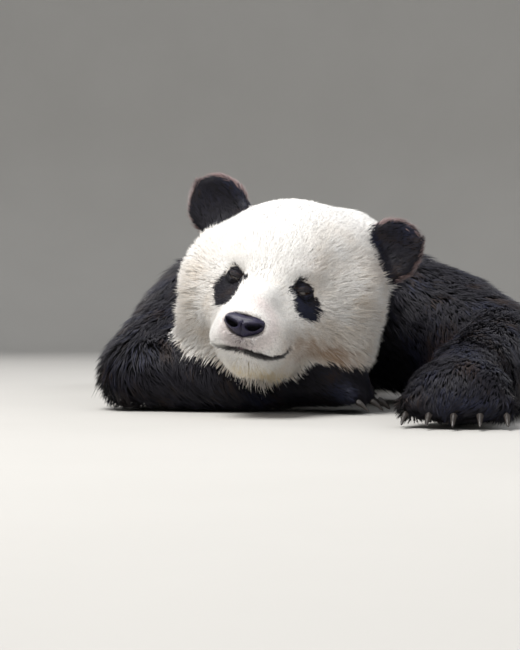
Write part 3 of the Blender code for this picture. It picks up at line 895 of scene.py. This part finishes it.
def stains_and_shade(points):
    """Shares of the beige, cream, brown and pink tones on the white of the head. The beige is partly the
    coat's own tone and partly painted shade, low on the head and on its sides; one brown spot is painted
    shade.
    """
    local = to_head(points)
    x, y, z = local.T
    from_nose = lengths(local - NOSE_LOCAL)
    # Beige, partly painted shade: strongest low on the head away from the nose, low on both sides, and on
    # the left side.
    low = smooth(0.030, -0.060, z) * smooth(0.050, 0.095, from_nose)
    low = np.maximum(low, 0.85 * smooth(0.055, 0.100, np.abs(x)) * smooth(0.075, 0.0, z))
    low = np.maximum(low, 0.50 * smooth(0.015, 0.060, x) * smooth(0.110, 0.070, z) * (y < 0.03))
    cream = bell(x - 0.014, 0.034) * smooth(-0.090, -0.104, z) * (y < -0.06)
    pink = bell(from_nose - 0.027, 0.009) * (y < MUZZLE_FRONT)
    return low, cream, np.clip(soft_spots(local, BROWN_SPOTS_AND_SHADE), 0, 1), pink


def white_tints(points, tone, on_head):
    """Root, middle and tip colours of the white coat, which is darker off the head, most near the floor.
    Roots and middles are darker than tips as painted shade deep in the coat.
    """
    low, cream, brown, pink = (share * on_head for share in stains_and_shade(points))
    patchy = 0.5 + 0.5 * Waves(0.035, 8)(points)
    # Off the head the white is darker, most near the floor.
    low = low + (1 - on_head) * (0.25 + 0.5 * smooth(0.16, 0.03, points[:, 2]))
    shadow = np.clip(0.02 + (0.26 + 0.55 * patchy) * low + 0.06 * tone + 0.22 * low * tone, 0, 1)
    tip = mix(WHITE_TIP, WHITE_SHADOW, shadow * 0.60)
    middle = mix(WHITE_TIP, WHITE_SHADOW, shadow * 0.9)
    # Roots and middles are darker than tips, as painted shade deep in the coat.
    root = mix(WHITE_SHADOW, WHITE_ROOT_SHADE, shadow)
    done = []
    # On the head the roots are lightened towards the tips' white, least where the beige is strong.
    for colour in (mix(root, WHITE_TIP, 0.75 * (1 - 0.7 * low) * on_head), middle, tip):
        colour = mix(colour, CREAM, np.clip(cream * (0.70 + 0.25 * tone), 0, 1))
        colour = mix(colour, BROWN_STAIN_AND_SHADE, np.clip(brown * (0.70 + 0.30 * tone), 0, 1))
        colour = mix(colour, PINK, pink * 0.30)
        done.append(colour * (1 + 0.03 * tone)[:, None])
    return done


def black_tints(points, tone, rim_backlight, worn):
    """Root, middle and tip colours of the black coat. Roots and middles are darker than tips as painted
    shade deep in the coat, and the rim of each ear carries a painted backlight.
    """
    blue = smooth(0.1, 0.9, Waves(0.09, 12)(points) * 0.6 + 0.45 * tone)
    brown = smooth(0.45, 1.2, Waves(0.06, 15)(points) * 0.7 - 0.5 * tone)
    tip = mix(BLACK_TIP, BLACK_BLUE, blue * 0.8)
    tip = mix(tip, BLACK_BROWN, brown * 0.8)
    tip = tip * (1 + 0.25 * tone)[:, None]
    middle = mix(tip * 0.8, WORN_BROWN, worn * 0.7)
    root = mix(BLACK_ROOT_SHADE, BLACK_BROWN, brown * 0.25)
    tip = mix(mix(tip, EAR_RIM_BACKLIGHT, rim_backlight), WORN_BROWN, worn)
    return [root, mix(middle, EAR_RIM_BACKLIGHT, rim_backlight * 0.55), tip]


# ------ the coat
COAT_GROUPS = (
    ("head", ("head",)),
    ("ears", ("ear",)),
    ("neck", ("neck",)),
    ("trunk", ("trunk", "tail", "shoulders")),
    ("foreleg_left", ("foreleg_left", "forepaw_left")),
    ("foreleg_right", ("foreleg_right", "forepaw_right")),
    ("hindlegs", ("hind",)),
)


def coat_ways(place, normal, way, coat, clump):
    """Centre lines of the tufts: they rise from the skin and bend over along it, in locks."""
    count = len(place)
    depth, length = coat[:, 0], coat[:, 1]
    side = np.cross(normal, way)
    group = np.arange(count) // LOCK_SIZE
    own = np.random.default_rng(7)

    def lock(change):
        return own.normal(0, change, group.max() + 1)[group]

    turn = TURN_BROAD * Waves(0.055, 21)(place) + TURN_FINE * Waves(0.016, 22)(place)
    turn = turn + lock(TURN_LOCK) + rng.normal(0, TURN_ONE, count)
    way = way * np.cos(turn)[:, None] + side * np.sin(turn)[:, None]
    length = length * (1 + lock(LOCK_CHANGE)) * rng.uniform(0.78, 1.15, count)
    rise = depth * rng.uniform(0.62, 1.0, count) * (1 + lock(LOCK_CHANGE))
    pitch = np.arcsin(np.clip(rise / length, 0.05, 0.95))
    first, last = np.minimum(pitch * 1.30, 1.45)[:, None], (pitch * 0.66)[:, None]
    root = place - normal * ROOT_DEPTH
    half = (length * 0.52)[:, None]
    middle = root + (way * np.cos(first) + normal * np.sin(first)) * half
    tip = middle + unit(way * np.cos(last) + normal * np.sin(last) + TUFT_FALL) * half
    near = bell(lengths(root - group_mean(root, group)), np.maximum(length * 0.5, 0.004))
    pull = (clump * near)[:, None]
    tip = tip + (group_mean(tip, group) - tip) * pull
    middle = middle + (group_mean(middle, group) - middle) * pull * 0.35
    return {"root": root, "middle": middle, "tip": tip, "normal": normal}


def tuft_density(surface, coat, on_head, line):
    """Tufts per area: less on the underside, and none on bare skin."""
    cover = np.where(on_head > 0, COVERAGE_HEAD, COVERAGE_BODY)
    height = surface.points[:, 2]
    down = surface.normals()[:, 2]
    under = smooth(0.010, 0.003, height) * smooth(-0.5, -0.9, down)
    below = smooth(0.10, 0.06, height) * smooth(-0.35, -0.75, down) * (1 - on_head)
    density = cover / (0.55 * coat[:, 1] * coat[:, 2]) * (1 - bare_share(surface, line))
    return density * (1 - 0.97 * under) * (1 - (1 - UNDERSIDE_SHARE) * below)


def coat_tufts(surface, line, owner, black, way, corner_uv):
    """All the tufts of the coat, whether each is black, and the part it stands on."""
    coat = surface.spread(coat_at(surface.points, owner), 6)
    on_head = (owner == HEAD).astype(float)
    roots = Roots(surface, tuft_density(surface, coat, on_head, line))
    place, normal, lie = roots.stand(surface, way)
    size = roots.at(coat)
    is_black = roots.at(black) + rng.normal(0, 0.10, len(roots)) > 0.5
    part = owner[roots.corners[:, 0]]
    furry = smooth(0.008, 0.014, size[:, 0])
    clump = np.where(roots.at(on_head) > 0.5, 0.08 + 0.20 * furry, 0.36)
    gap, along = line_gap(place, line)
    x, y, z = to_head(place).T
    above = height_over(line, along, to_head(place)) > 0
    size[:, 1] = np.where(above, np.minimum(size[:, 1], 0.0032 + 0.50 * gap), size[:, 1])
    tufts = coat_ways(place, normal, lie, size, clump)
    tone = np.clip(0.6 * rng.normal(0, 0.7, len(roots)) + 0.5 * Waves(0.012, 31)(place), -1, 1)
    whites = white_tints(place, tone, smooth(0.2, 0.8, roots.at(on_head)))
    blacks = black_tints(place, tone, ear_rim_backlight(place, normal, part), worn_share(place))
    # Tufts by the mouth go dark: partly the lips' own dark, partly painted shade in the mouth's crease.
    deep = gap + 0.0012 * tone - lip_reach(along)
    lip = np.where(above, bell(gap, 0.0042), smooth(0.0078, 0.0036, deep)) * mouth_share(along)
    # Painted shade on the fur under the nose pad, purplish, strongest at the roots.
    under_nose_shade = bell(x - NOSE_SHIFT, 0.017) * smooth(-0.058, -0.064, z) * (y < MUZZLE_FRONT)
    under_nose_shade = under_nose_shade * smooth(-0.084, -0.072, z)
    for k, level in enumerate(("root_tint", "middle_tint", "tip_tint")):
        tint = np.where(is_black[:, None], blacks[k], whites[k])
        tufts[level] = mix(mix(tint, LIP_PURPLE_AND_SHADE, under_nose_shade * LIP_SHADED[k]), LIP, lip * LIP_DARK_AND_SHADE[k])
    tufts["width"] = size[:, 2] * rng.uniform(0.75, 1.25, len(roots))
    tufts["map"] = roots.on_map(corner_uv)
    return tufts, is_black, part


def build_coat(mesh, surface, line, materials):
    """All pieces of the coat, and how black it is at each point of the skin."""
    owner = nearest_node(surface.points)
    black = black_share(surface, owner)
    way = lie_of_coat(surface, owner)
    corner_uv = loop_uv(mesh)
    tufts, is_black, part = coat_tufts(surface, line, owner, black, way, corner_uv)
    pieces = []
    for label, starts in COAT_GROUPS:
        chosen = np.array([name.startswith(starts) for name in FLESH])[part]
        for colour, wanted in (("white", ~is_black), ("black", is_black)):
            index = np.flatnonzero(chosen & wanted)
            parts = max(1, -(-len(index) // TUFTS_PER_PIECE))
            for number, some in enumerate(np.array_split(index, parts), 1):
                if len(some) < FEWEST_TUFTS:
                    continue
                name = f"coat_{label}_{colour}_{number}"
                own = {key: values[some] for key, values in tufts.items()}
                pieces.append(coat_piece(name, own, materials[colour]))
    beard = chin_share(surface.points, owner == HEAD)
    backlit_rims = ear_rim_backlight(surface.points, surface.normals(), owner)
    for name, share, count, wisp, tint in (
        ("coat_chin_wisps", beard, CHIN_WISPS, CHIN_WISP, WHITE_TIP),
        # The ears' wisps carry the painted backlight of the ear's rim.
        ("coat_ear_backlit_wisps", backlit_rims, EAR_WISPS, EAR_WISP, EAR_RIM_BACKLIGHT),
    ):
        hairs = wisps(surface, corner_uv, way, share, count, wisp, tint)
        pieces.append(coat_piece(name, hairs, materials["white"]))
    return pieces, black


def coat_piece(name, tufts, finish):
    piece = new_object(name, tuft_mesh(name, tufts))
    piece.data.materials.append(finish)
    return piece


def chin_share(points, on_head):
    """1 on the chin and under the mouth's corners, where long pale hairs hang."""
    x, y, z = to_head(points).T
    return smooth(0.075, 0.045, np.abs(x)) * smooth(-0.088, -0.098, z) * (y < -0.05) * on_head


def wisps(surface, corner_uv, way, share, count, size, tint):
    """Long fine hairs, which stand out of the coat where share is high."""
    weight = (share[surface.triangles].mean(1) * surface.areas()).sum()
    roots = Roots(surface, share * count / weight)
    place, normal, lie = roots.stand(surface, way)
    coat = np.tile(np.array(size), (len(roots), 1))
    hairs = coat_ways(place, normal, lie, coat, np.zeros(len(roots)))
    tint = tint * (1 + rng.normal(0, 0.08, (len(roots), 1)))
    # Darker towards the root, as painted shade deep in the coat.
    hairs |= {"root_tint": tint * 0.6, "middle_tint": tint * 0.9, "tip_tint": tint}
    hairs["width"] = coat[:, 2] * rng.uniform(0.7, 1.2, len(roots))
    hairs["map"] = roots.on_map(corner_uv)
    return hairs


def ear_rim_backlight(place, normal, part):
    """1 on the rim of an ear away from its base, where the painted backlight goes, and 0 on its faces."""
    share = np.zeros(len(place))
    edge = np.sqrt(np.clip(1 - (normal @ HEAD_AXES[:, 1]) ** 2, 0, 1))
    edge = np.where(normal @ HEAD_AXES[:, 1] > 0, np.maximum(edge, 0.5), edge)
    for side in ("left", "right"):
        middle = centre_of("ear_" + side)
        out = unit(middle - HEAD_MIDDLE)
        own = part == FLESH.index("ear_" + side)
        far = smooth(-0.026, -0.008, (place - middle) @ out)
        share = np.where(own, smooth(0.72, 0.93, edge) * far, share)
    return share


def spot(node, across, along, up):
    """A place given as shares of a node's box."""
    low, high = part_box(node)
    return np.array(low) + np.array(high - low) * np.array([across, along, up])


def worn_share(place):
    """The worn brown streak at the inside of the left elbow."""
    low, high = spot("foreleg_left_lower", 0.10, 1.05, 0.43), spot("foreleg_left_lower", 0.24, 0.88, 0.70)
    return bell(leg_gap(place, low, high)[0], 0.011)


def bare_share(surface, line):
    """1 where no tufts grow: the lids, the nose pad's place and the lips."""
    local, _ = mirrored_head(surface.points)
    along, across, reach = slit_places(local)
    lids = smooth(1.08, 0.85, np.hypot(along / 0.0100, (across - 0.0012) / 0.0044)) * (reach < 0.02)
    nose = smooth(0.98, 0.86, nose_reach(to_head(surface.points))) * (local[:, 1] < -0.135)
    gap, along = line_gap(surface.points, line)
    lips = smooth(0.0034, 0.0024, gap - 0.0012 * smooth(0.45, 0.75, along)) * mouth_share(along)
    return np.clip(np.maximum.reduce([lids, nose, lips]), 0, 1)


def loop_uv(mesh):
    """The UV map's places of each triangle's corners."""
    uv = np.empty(len(mesh.loops) * 2)
    mesh.uv_layers["OFBake"].uv.foreach_get("vector", uv)
    loops = np.empty(len(mesh.loop_triangles) * 3, np.int32)
    mesh.calc_loop_triangles()
    mesh.loop_triangles.foreach_get("loops", loops)
    return uv.reshape(-1, 2)[loops.reshape(-1, 3)]


# ------ materials
class Finish:
    """A material, put together node by node round its one shader."""

    def __init__(self, name):
        self.made = bpy.data.materials.new(name)
        self.made.use_nodes = True
        self.shader = self.made.node_tree.nodes["Principled BSDF"]

    def fill(self, node, values, links):
        """Sets a node's sockets to values, and links sockets to other nodes' outputs."""
        for name, value in values.items():
            node.inputs[name].default_value = value
        for name, source in links.items():
            self.made.node_tree.links.new(source, node.inputs[name])
        return node

    def node(self, kind, values, links):
        return self.fill(self.made.node_tree.nodes.new("ShaderNode" + kind), values, links)

    def shade(self, values, links):
        self.fill(self.shader, values, links)
        return self.made

    def texture(self, kind, **values):
        """A texture over the place in space."""
        place = self.node("NewGeometry", {}, {})
        return self.node("Tex" + kind, values, {"Vector": place.outputs["Position"]})

    def noise(self, scale, detail):
        return self.texture("Noise", Scale=scale, Detail=detail, Roughness=0.55).outputs["Fac"]

    def attribute(self, name, output="Fac"):
        made = self.node("Attribute", {}, {})
        made.attribute_name = name
        return made.outputs[output]

    def spread(self, source, low, high, ends=(0.3, 0.7)):
        values = {"From Min": ends[0], "From Max": ends[1], "To Min": low, "To Max": high}
        return self.node("MapRange", values, {"Value": source}).outputs["Result"]

    def times(self, colour, value):
        made = self.node("VectorMath", {}, {})
        made.operation = "SCALE"
        return self.fill(made, {}, {0: colour, "Scale": value}).outputs[0]

    def ramp(self, source, dark, light):
        made = self.node("ValToRGB", {}, {"Fac": source})
        for element, colour in zip(made.color_ramp.elements, (dark, light)):
            element.color = (*colour, 1)
        return made.outputs["Color"]

    def bump(self, source, strength, distance):
        made = self.node("Bump", {"Strength": strength, "Distance": distance}, {"Height": source})
        return made.outputs["Normal"]


def fur_material(name, rough, sheen, coarse):
    """The coat's finish: its tint from root to tip, broken up by fine noise."""
    finish = Finish(name)
    fine = finish.noise(420.0, 2.0)
    light = finish.spread(fine, 0.86, 1.10)
    patch = finish.spread(finish.noise(coarse, 3.0), 0.90, 1.06)
    tint = finish.times(finish.times(finish.attribute("coat_tint", "Color"), light), patch)
    return finish.shade(
        {"Specular IOR Level": 0.24, "Sheen Weight": sheen, "Sheen Roughness": 0.5},
        {"Base Color": tint, "Roughness": finish.spread(fine, rough - 0.08, rough + 0.08)},
    )


def skin_material():
    finish = Finish("skin_under_coat")
    fine = finish.noise(900.0, 4.0)
    tint = finish.times(finish.attribute("skin_tint", "Color"), finish.spread(fine, 0.8, 1.12))
    bump = finish.bump(fine, 0.35, 0.0006)
    links = {"Base Color": tint, "Roughness": finish.attribute("skin_rough"), "Normal": bump}
    return finish.shade({"Specular IOR Level": 0.25}, links)


def nose_material():
    """Pebbled dark skin, darker and rougher inside the nostrils; the darker part is partly their own dark
    and partly painted shade in the hollows.
    """
    finish = Finish("nose_skin")
    cells = finish.texture("Voronoi", Scale=620.0)
    cells.feature = "DISTANCE_TO_EDGE"
    broad = finish.noise(90.0, 3.0)
    inside = finish.attribute("nostril")
    tint = finish.ramp(broad, (0.006, 0.005, 0.011), (0.024, 0.019, 0.062))
    # Inside the nostrils the colour drops to a twentieth: partly their own dark, partly painted shade in
    # the hollows.
    tint = finish.times(tint, finish.spread(inside, 1.0, 0.05, (0.0, 1.0)))
    outside = finish.spread(broad, 0.32, 0.50)
    links = {"Value": inside, "To Min": outside}
    rough = finish.node("MapRange", {"To Max": 1.0}, links).outputs["Result"]
    bump = finish.bump(cells.outputs["Distance"], 0.55, 0.0005)
    links = {"Base Color": tint, "Roughness": rough, "Normal": bump}
    return finish.shade({"Specular IOR Level": 0.4}, links)


def eye_material():
    finish = Finish("eye_surface")
    tint = finish.ramp(finish.noise(260.0, 4.0), (0.004, 0.003, 0.003), (0.045, 0.020, 0.010))
    values = {"Roughness": 0.08, "Coat Weight": 1.0, "Coat Roughness": 0.03}
    return finish.shade(values, {"Base Color": tint})


def claw_material():
    finish = Finish("claw_horn")
    bands = finish.texture("Wave", Scale=190.0, Distortion=6.0, Detail=3.0).outputs["Fac"]
    tint = finish.ramp(bands, (0.010, 0.008, 0.008), (0.040, 0.031, 0.026))
    rough, bump = finish.spread(bands, 0.42, 0.6), finish.bump(bands, 0.25, 0.0004)
    return finish.shade({}, {"Base Color": tint, "Roughness": rough, "Normal": bump})


def paint_skin(mesh, surface, black, line):
    """The skin's colours: the same markings as the coat, darker as painted shade deep in the coat, with
    dark lids and lips.
    """
    points = surface.points
    # Under the coat the skin takes the roots' colour, darker still, as painted shade between the tufts.
    white = white_tints(points, np.zeros(len(points)), smooth(-0.20, -0.26, points[:, 1]))[0] * 0.85
    colour = mix(white, BLACK_ROOT_SHADE, smooth(0.4, 0.6, black))
    along, across, reach = slit_places(mirrored_head(points)[0])
    lids = smooth(1.35, 1.0, np.hypot(along / 0.0118, (across - 0.0028) / 0.0085)) * (reach < 0.024)
    # A thin brown arc along each lid's fold, partly a painted highlight, on the near-black lids.
    fold = across - LID_FOLD + LID_FOLD_BEND * along**2
    colour = mix(colour, mix(LIP, LID_BROWN_AND_HIGHLIGHT, bell(fold + 0.0012, 0.0010) * 0.85), lids)
    gap, along = line_gap(points, line)
    lips = smooth(0.0080, 0.0045, gap - lip_reach(along)) * mouth_share(along)
    colour = mix(colour, LIP, lips)
    x, y, z = to_head(points).T
    groove = bell(x - LIP_SPLIT, 0.0030) * (z < -0.056) * (z > -0.084) * (y < MUZZLE_FRONT)
    put_colours(mesh, "skin_tint", mix(colour, LIP_PURPLE_AND_SHADE, groove))
    put_numbers(mesh, "skin_rough", 0.85 - 0.32 * np.maximum(lids, lips))


# ------ nose, eyes and claws
def sphere_mesh(name, around, rings):
    work = bmesh.new()
    bmesh.ops.create_uvsphere(work, u_segments=around, v_segments=rings, radius=1.0)
    mesh = poured(work, bpy.data.meshes.new(name))
    smooth_faces(mesh)
    return mesh


def nose_pad(finish):
    """The nose pad: broad above, narrow below, with comma nostrils and a groove between them."""
    mesh = sphere_mesh("nose_pad", 96, 72)
    x, y, z = (mesh_arrays(mesh)[0][:, [0, 2, 1]] * (1, -1, 1)).T
    wide = 1 - 0.56 * smooth(0.20, -1.0, z) ** 1.1 - 0.03 * smooth(0.6, 1.0, z)
    px = np.sign(x) * np.abs(x) ** 0.78 * NOSE_HALF[0] * wide
    pz = np.sign(z) * np.abs(z) ** np.where(z > 0, 0.70, 0.90) * NOSE_HALF[2]
    py = np.sign(y) * np.abs(y) ** 0.75 * NOSE_HALF[1]
    ax = np.abs(px)
    pz = pz - 0.0016 * bell(px, 0.007) * smooth(0.2, 0.8, z)
    front = smooth(0.15, -0.35, y)
    py = py + 0.0050 * smooth(0.0, 1.0, z) ** 2 * front - 0.0016 * bell(pz + 0.001, 0.006) * front
    off = ax - NOSTRIL_OUT
    reach = np.hypot(off / 0.0092, (pz + 0.0026 - 0.26 * off - 18.0 * off**2) / 0.0042)
    hole = smooth(1.12, 0.66, reach) * front
    tail = bell(ax - 0.0232, 0.0042) * bell(pz - 0.0022, 0.0016) * front
    rim = bell(reach - 1.36, 0.24) * front * (pz < 0.006)
    groove = bell(ax, 0.0010) * smooth(0.004, -0.004, pz) * front
    py = py + 0.0092 * hole + 0.0036 * tail + 0.0030 * groove - 0.0013 * rim
    py, pz = turned(py, pz, NOSE_LEAN)
    local = np.column_stack([px * (1 - 0.04 * rim) + NOSE_SHIFT, py, pz - NOSE_SINK])
    put_points(mesh, from_head(local + NOSE_LOCAL))
    put_numbers(mesh, "nostril", np.maximum(hole, 0.8 * tail))
    piece = new_object("nose_pad", mesh)
    mesh.materials.append(finish)
    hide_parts("nose")
    return piece


def eyeball(side, finish):
    """An eye with a slightly fuller cornea at the front."""
    mesh = sphere_mesh("eye_ball_" + side, 48, 32)
    points = mesh_arrays(mesh)[0]
    fuller = points * (1 + 0.03 * smooth(0.7, 1.0, points[:, 2:]))
    ball = fuller[:, [0, 2, 1]] * (1, -1, 1)
    put_points(mesh, centre_of("eye_" + side) + way_from_head(ball * EYE_RADIUS))
    piece = new_object("eye_ball_" + side, mesh)
    mesh.materials.append(finish)
    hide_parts("eye_" + side)
    return piece


def claw(name, finish):
    """A claw rounded from its solid, in one piece with the same root and tip."""
    fuller = poured(swollen(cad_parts[name].data, CLAW_SWELL), bpy.data.meshes.new("claw"))
    rough = new_object("claw", fuller)
    rounding = rough.modifiers.new("rounding", "SUBSURF")
    rounding.levels = rounding.render_levels = 3
    mesh = after_modifier(rough)
    mesh.materials.clear()
    mesh.materials.append(finish)
    smooth_faces(mesh)
    piece = new_object("horn_" + name, mesh)
    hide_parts(name)
    return piece


# ------ light, floor and camera
def area_light(name, offset, size, power, colour):
    """A round soft lamp that points at the head."""
    data = bpy.data.lights.new(name, "AREA")
    data.shape = "DISK"
    data.size = size
    data.energy = power
    data.color = colour
    lamp = new_object(name, data)
    lamp.location = HEAD_MIDDLE + np.array(offset)
    aim = Vector(HEAD_MIDDLE) - Vector(HEAD_MIDDLE + np.array(offset))
    lamp.rotation_euler = aim.to_track_quat("-Z", "Y").to_euler()


def floor_mesh():
    """A round floor that curves up into a wall."""
    work = bmesh.new()
    turn = np.linspace(0, np.pi / 2, 12)
    corner = [(WALL_REACH + WALL_ROUND * np.sin(a), WALL_ROUND * (1 - np.cos(a))) for a in turn]
    profile = [(0.02, 0.0), (WALL_REACH / 2, 0.0)] + corner + [(WALL_REACH + WALL_ROUND, WALL_HIGH)]
    around = np.linspace(0, 2 * np.pi, 97)[:-1]
    rows = [[work.verts.new((r * np.cos(a), r * np.sin(a), z)) for a in around] for r, z in profile]
    for one, two in zip(rows[:-1], rows[1:]):
        for k in range(len(around)):
            work.faces.new((one[k - 1], one[k], two[k], two[k - 1]))
    work.faces.new(rows[0])
    mesh = poured(work, bpy.data.meshes.new("studio_floor"))
    smooth_faces(mesh)
    return mesh


def studio():
    """The floor, soft lamps, a pale sky and the camera."""
    mesh = floor_mesh()
    floor = new_object("studio_floor", mesh)
    finish = Finish("studio_floor")
    tint = finish.ramp(finish.noise(3.0, 4.0), (0.46, 0.45, 0.43), (0.50, 0.49, 0.47))
    mesh.materials.append(finish.shade({"Roughness": 0.9}, {"Base Color": tint}))
    world = bpy.data.worlds.new("studio")
    world.use_nodes = True
    sky = world.node_tree.nodes["Background"]
    sky.inputs["Color"].default_value = (0.95, 0.97, 1.0, 1)
    sky.inputs["Strength"].default_value = SKY_LIGHT
    scene = bpy.context.scene
    scene.world = world
    for name, lamp in LAMPS.items():
        area_light(name, *lamp)
    scene.view_settings.view_transform = "Standard"
    data = bpy.data.cameras.new("camera")
    data.lens = CAMERA_LENS
    data.sensor_width = CAMERA_SENSOR
    data.clip_end = 60.0
    camera = new_object("camera", data)
    camera.location = HEAD_MIDDLE + np.array(CAMERA_FROM_HEAD)
    camera.rotation_euler = (np.pi / 2, 0, 0)
    bpy.context.scene.camera = camera


# ------ putting it together
def main():
    fur = {
        "white": fur_material("white_fur", 0.62, 0.25, 9.0),
        "black": fur_material("black_fur", 0.60, 0.02, 7.0),
    }
    mesh, surface, line = build_skin()
    mesh.name = "skin"
    skin = new_object("skin", mesh)
    pieces, black = build_coat(mesh, surface, line, fur)
    paint_skin(mesh, surface, black, line)
    mesh.materials.clear()
    mesh.materials.append(skin_material())
    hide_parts(*FLESH)
    eye = eye_material()
    pieces += [skin, nose_pad(nose_material())]
    pieces += [eyeball(side, eye) for side in ("left", "right")]
    horn = claw_material()
    pieces += [claw(name, horn) for name in sorted(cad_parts) if name.startswith("claw")]
    for piece in pieces:
        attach(piece, "root")
    studio()


main()
